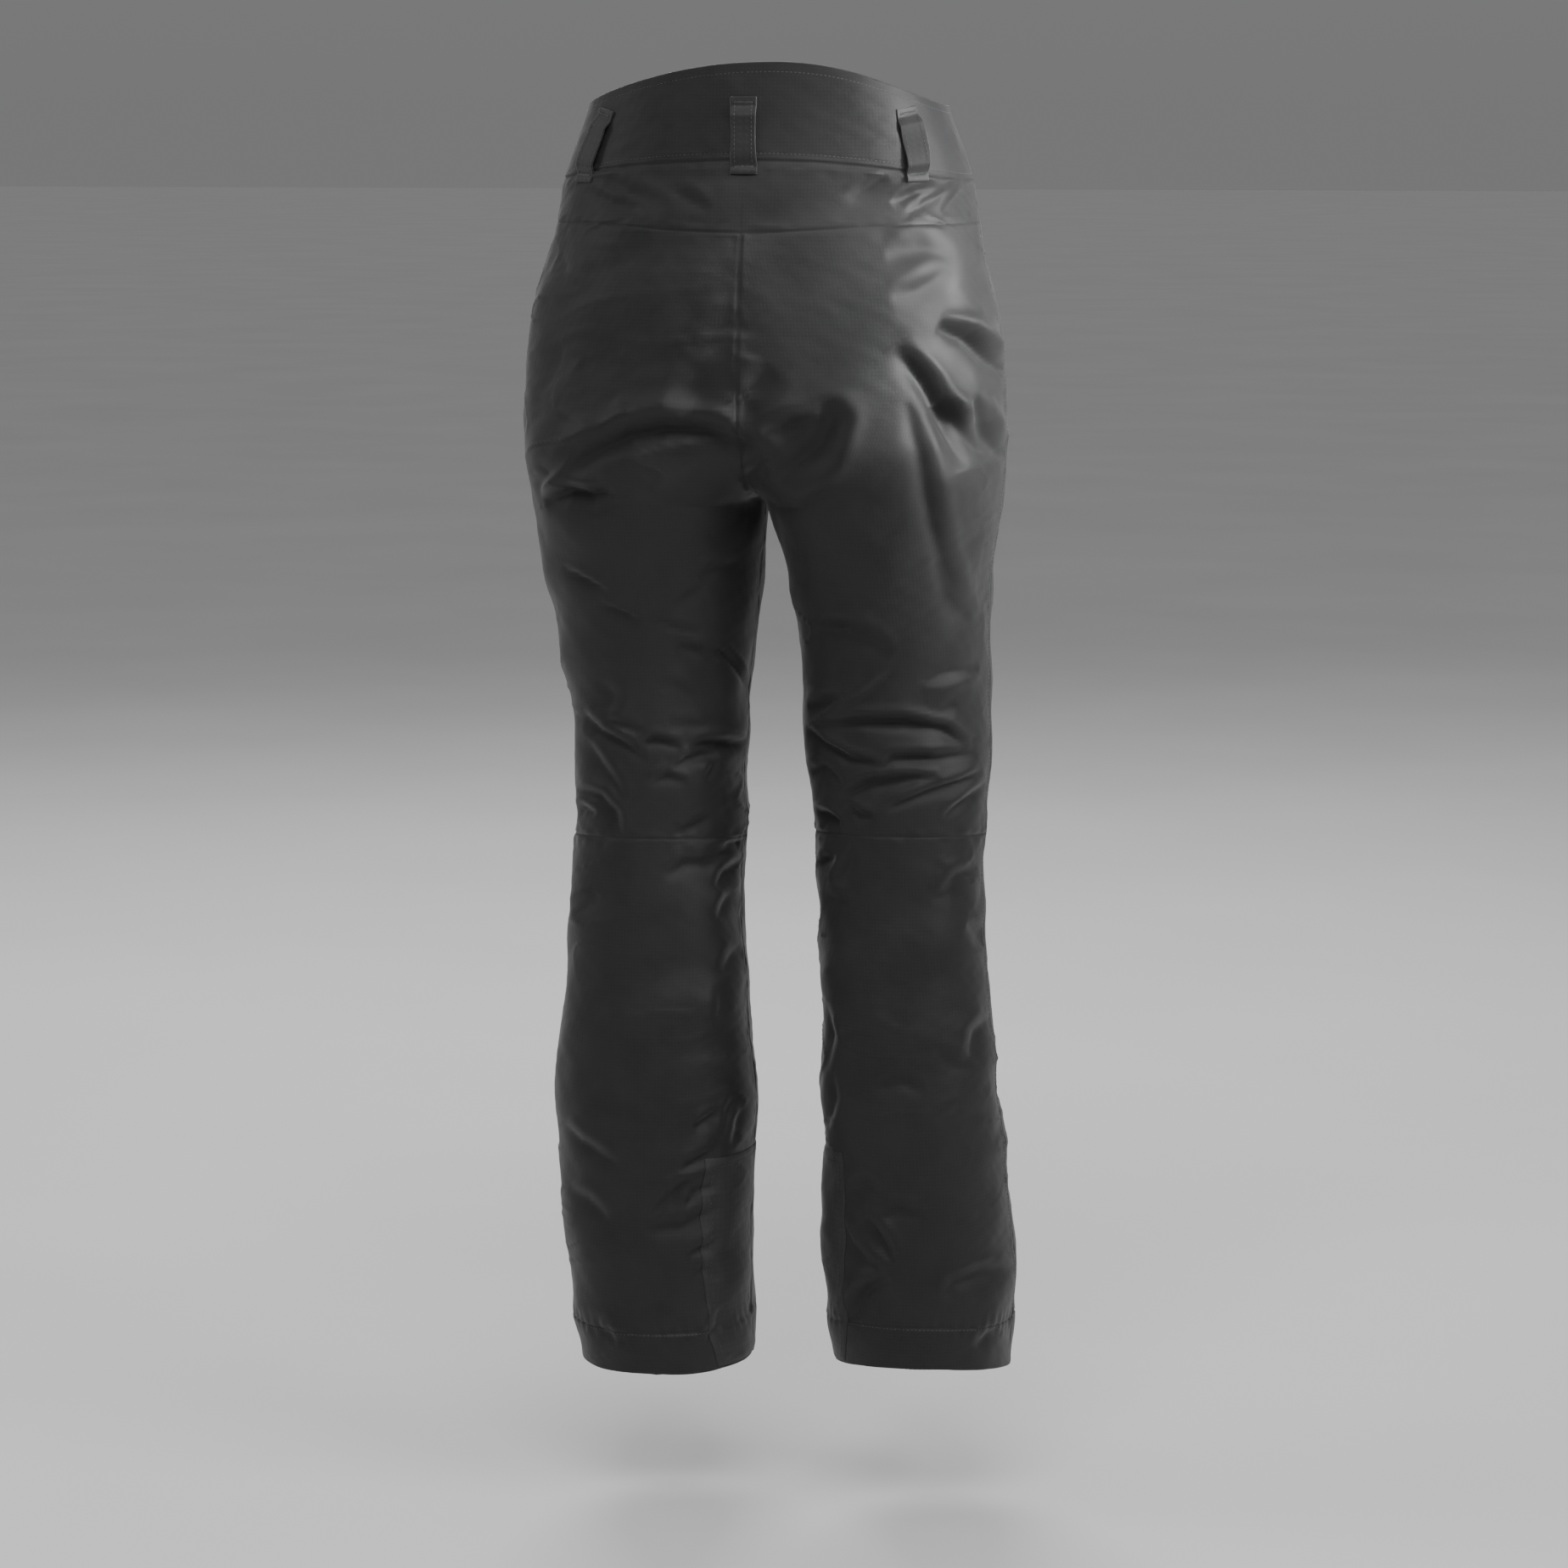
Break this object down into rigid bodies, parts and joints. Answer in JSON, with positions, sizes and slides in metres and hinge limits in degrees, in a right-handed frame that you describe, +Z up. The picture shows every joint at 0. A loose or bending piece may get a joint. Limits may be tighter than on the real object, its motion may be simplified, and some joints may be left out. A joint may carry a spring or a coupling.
{
  "type": "ski pants",
  "caption": "Insulated ski pants with a contoured waistband, belt loops, zip fly and hand pockets, articulated legs, inner boot gaiters and ankle scuff guards",
  "frame": {"origin": "centre of the waist opening, level with the waistband's side edges", "axes": "+Z up, the front of the pants faces -Y, the wearer's left leg is at +X"},
  "size_m": [0.4039, 0.2673, 1.071],
  "materials": {
    "shell_fabric": "satin",
    "trim_webbing": "matte",
    "scuff_fabric": "matte",
    "lining_fabric": "matte",
    "gaiter_fabric": "matte",
    "gripper_elastic": "matte",
    "zip_tape": "matte",
    "zip_teeth": "satin",
    "zip_metal": "satin",
    "pull_rubber": "matte",
    "snap_metal": "satin",
    "hook_steel": "polished"
  },
  "bodies": {
    "pelvis": {"back_yoke": "shell_fabric", "belt_loop_back_centre": "trim_webbing", "belt_loop_back_left": "trim_webbing", "belt_loop_back_right": "trim_webbing", "belt_loop_front_left": "trim_webbing", "belt_loop_front_right": "trim_webbing", "fly_shield": "lining_fabric", "fly_zip_tape": "zip_tape", "fly_zip_teeth": "zip_teeth", "front_hip_panel_left": "shell_fabric", "front_hip_panel_right": "shell_fabric", "hip_zone_left": "shell_fabric", "hip_zone_right": "shell_fabric", "lining_hips": "lining_fabric", "pocket_bag_left": "lining_fabric", "pocket_bag_right": "lining_fabric", "pocket_left_zip_tape": "zip_tape", "pocket_left_zip_teeth": "zip_teeth", "pocket_right_zip_tape": "zip_tape", "pocket_right_zip_teeth": "zip_teeth", "seat_panel_left": "shell_fabric", "seat_panel_right": "shell_fabric", "snap_studs": "snap_metal", "waistband_back": "shell_fabric", "waistband_facing": "lining_fabric", "waistband_front_left": "shell_fabric", "waistband_front_right": "shell_fabric"},
    "fly_zip_pull": {"fly_zip_pull": "pull_rubber"},
    "fly_zip_slider": {"fly_zip_slider": "zip_metal"},
    "shin_left": {"gaiter_elastic_left": "gripper_elastic", "gaiter_left": "gaiter_fabric", "hem_band_left": "shell_fabric", "lace_hook_left": "hook_steel", "lining_shin_left": "lining_fabric", "scuff_patch_left": "scuff_fabric", "shin_back_left": "shell_fabric", "shin_front_left": "shell_fabric"},
    "shin_right": {"gaiter_elastic_right": "gripper_elastic", "gaiter_right": "gaiter_fabric", "hem_band_right": "shell_fabric", "lace_hook_right": "hook_steel", "lining_shin_right": "lining_fabric", "scuff_patch_right": "scuff_fabric", "shin_back_right": "shell_fabric", "shin_front_right": "shell_fabric"},
    "thigh_left": {"knee_zone_left": "shell_fabric", "lining_thigh_left": "lining_fabric", "thigh_back_left": "shell_fabric", "thigh_front_left": "shell_fabric"},
    "thigh_right": {"knee_zone_right": "shell_fabric", "lining_thigh_right": "lining_fabric", "thigh_back_right": "shell_fabric", "thigh_front_right": "shell_fabric"},
    "pocket_left_zip_pull": {"pocket_left_zip_pull": "pull_rubber"},
    "pocket_left_zip_slider": {"pocket_left_zip_slider": "zip_metal"},
    "pocket_right_zip_pull": {"pocket_right_zip_pull": "pull_rubber"},
    "pocket_right_zip_slider": {"pocket_right_zip_slider": "zip_metal"},
    "waist_tab": {"snap_caps": "snap_metal", "waist_tab": "trim_webbing"}
  },
  "joints": [
    {"name": "hip_left", "type": "hinge", "parent": "pelvis", "child": "thigh_left", "pos_m": [0, 0.008, -0.251], "axis": [-1, 0, 0], "range_deg": [-8, 42], "deforming": ["hip_zone_left"]},
    {"name": "knee_left", "type": "hinge", "parent": "thigh_left", "child": "shin_left", "pos_m": [0, -0.004, -0.596], "axis": [1, 0, 0], "range_deg": [0, 75], "deforming": ["knee_zone_left"]},
    {"name": "hip_right", "type": "hinge", "parent": "pelvis", "child": "thigh_right", "pos_m": [0, 0.008, -0.251], "axis": [-1, 0, 0], "range_deg": [-8, 42], "deforming": ["hip_zone_right"]},
    {"name": "knee_right", "type": "hinge", "parent": "thigh_right", "child": "shin_right", "pos_m": [0, -0.004, -0.596], "axis": [1, 0, 0], "range_deg": [0, 75], "deforming": ["knee_zone_right"]},
    {"name": "waist_tab_open", "type": "hinge", "parent": "pelvis", "child": "waist_tab", "pos_m": [0.02, -0.11502, -0.029], "axis": [0, 0, 1], "range_deg": [0, 95]},
    {"name": "fly_zip_slide", "type": "slide", "parent": "pelvis", "child": "fly_zip_slider", "axis": [0, 0, -1], "range_m": [0, 0.1114]},
    {"name": "fly_zip_pull_swing", "type": "hinge", "parent": "fly_zip_slider", "child": "fly_zip_pull", "pos_m": [0, -0.11575, -0.0711], "axis": [-1, 0, 0], "range_deg": [0, 150]},
    {"name": "pocket_left_zip_slide", "type": "slide", "parent": "pelvis", "child": "pocket_left_zip_slider", "axis": [0.2677, 0.1616, -0.9499], "range_m": [0, 0.0934]},
    {"name": "pocket_left_zip_pull_swing", "type": "hinge", "parent": "pocket_left_zip_slider", "child": "pocket_left_zip_pull", "pos_m": [0.15093, -0.06107, -0.08629], "axis": [-0.5809, -0.7595, -0.2929], "range_deg": [0, 150]},
    {"name": "pocket_right_zip_slide", "type": "slide", "parent": "pelvis", "child": "pocket_right_zip_slider", "axis": [-0.2677, 0.1616, -0.9499], "range_m": [0, 0.0934]},
    {"name": "pocket_right_zip_pull_swing", "type": "hinge", "parent": "pocket_right_zip_slider", "child": "pocket_right_zip_pull", "pos_m": [-0.15093, -0.06107, -0.08629], "axis": [-0.5809, 0.7595, 0.2929], "range_deg": [0, 150]}
  ]
}
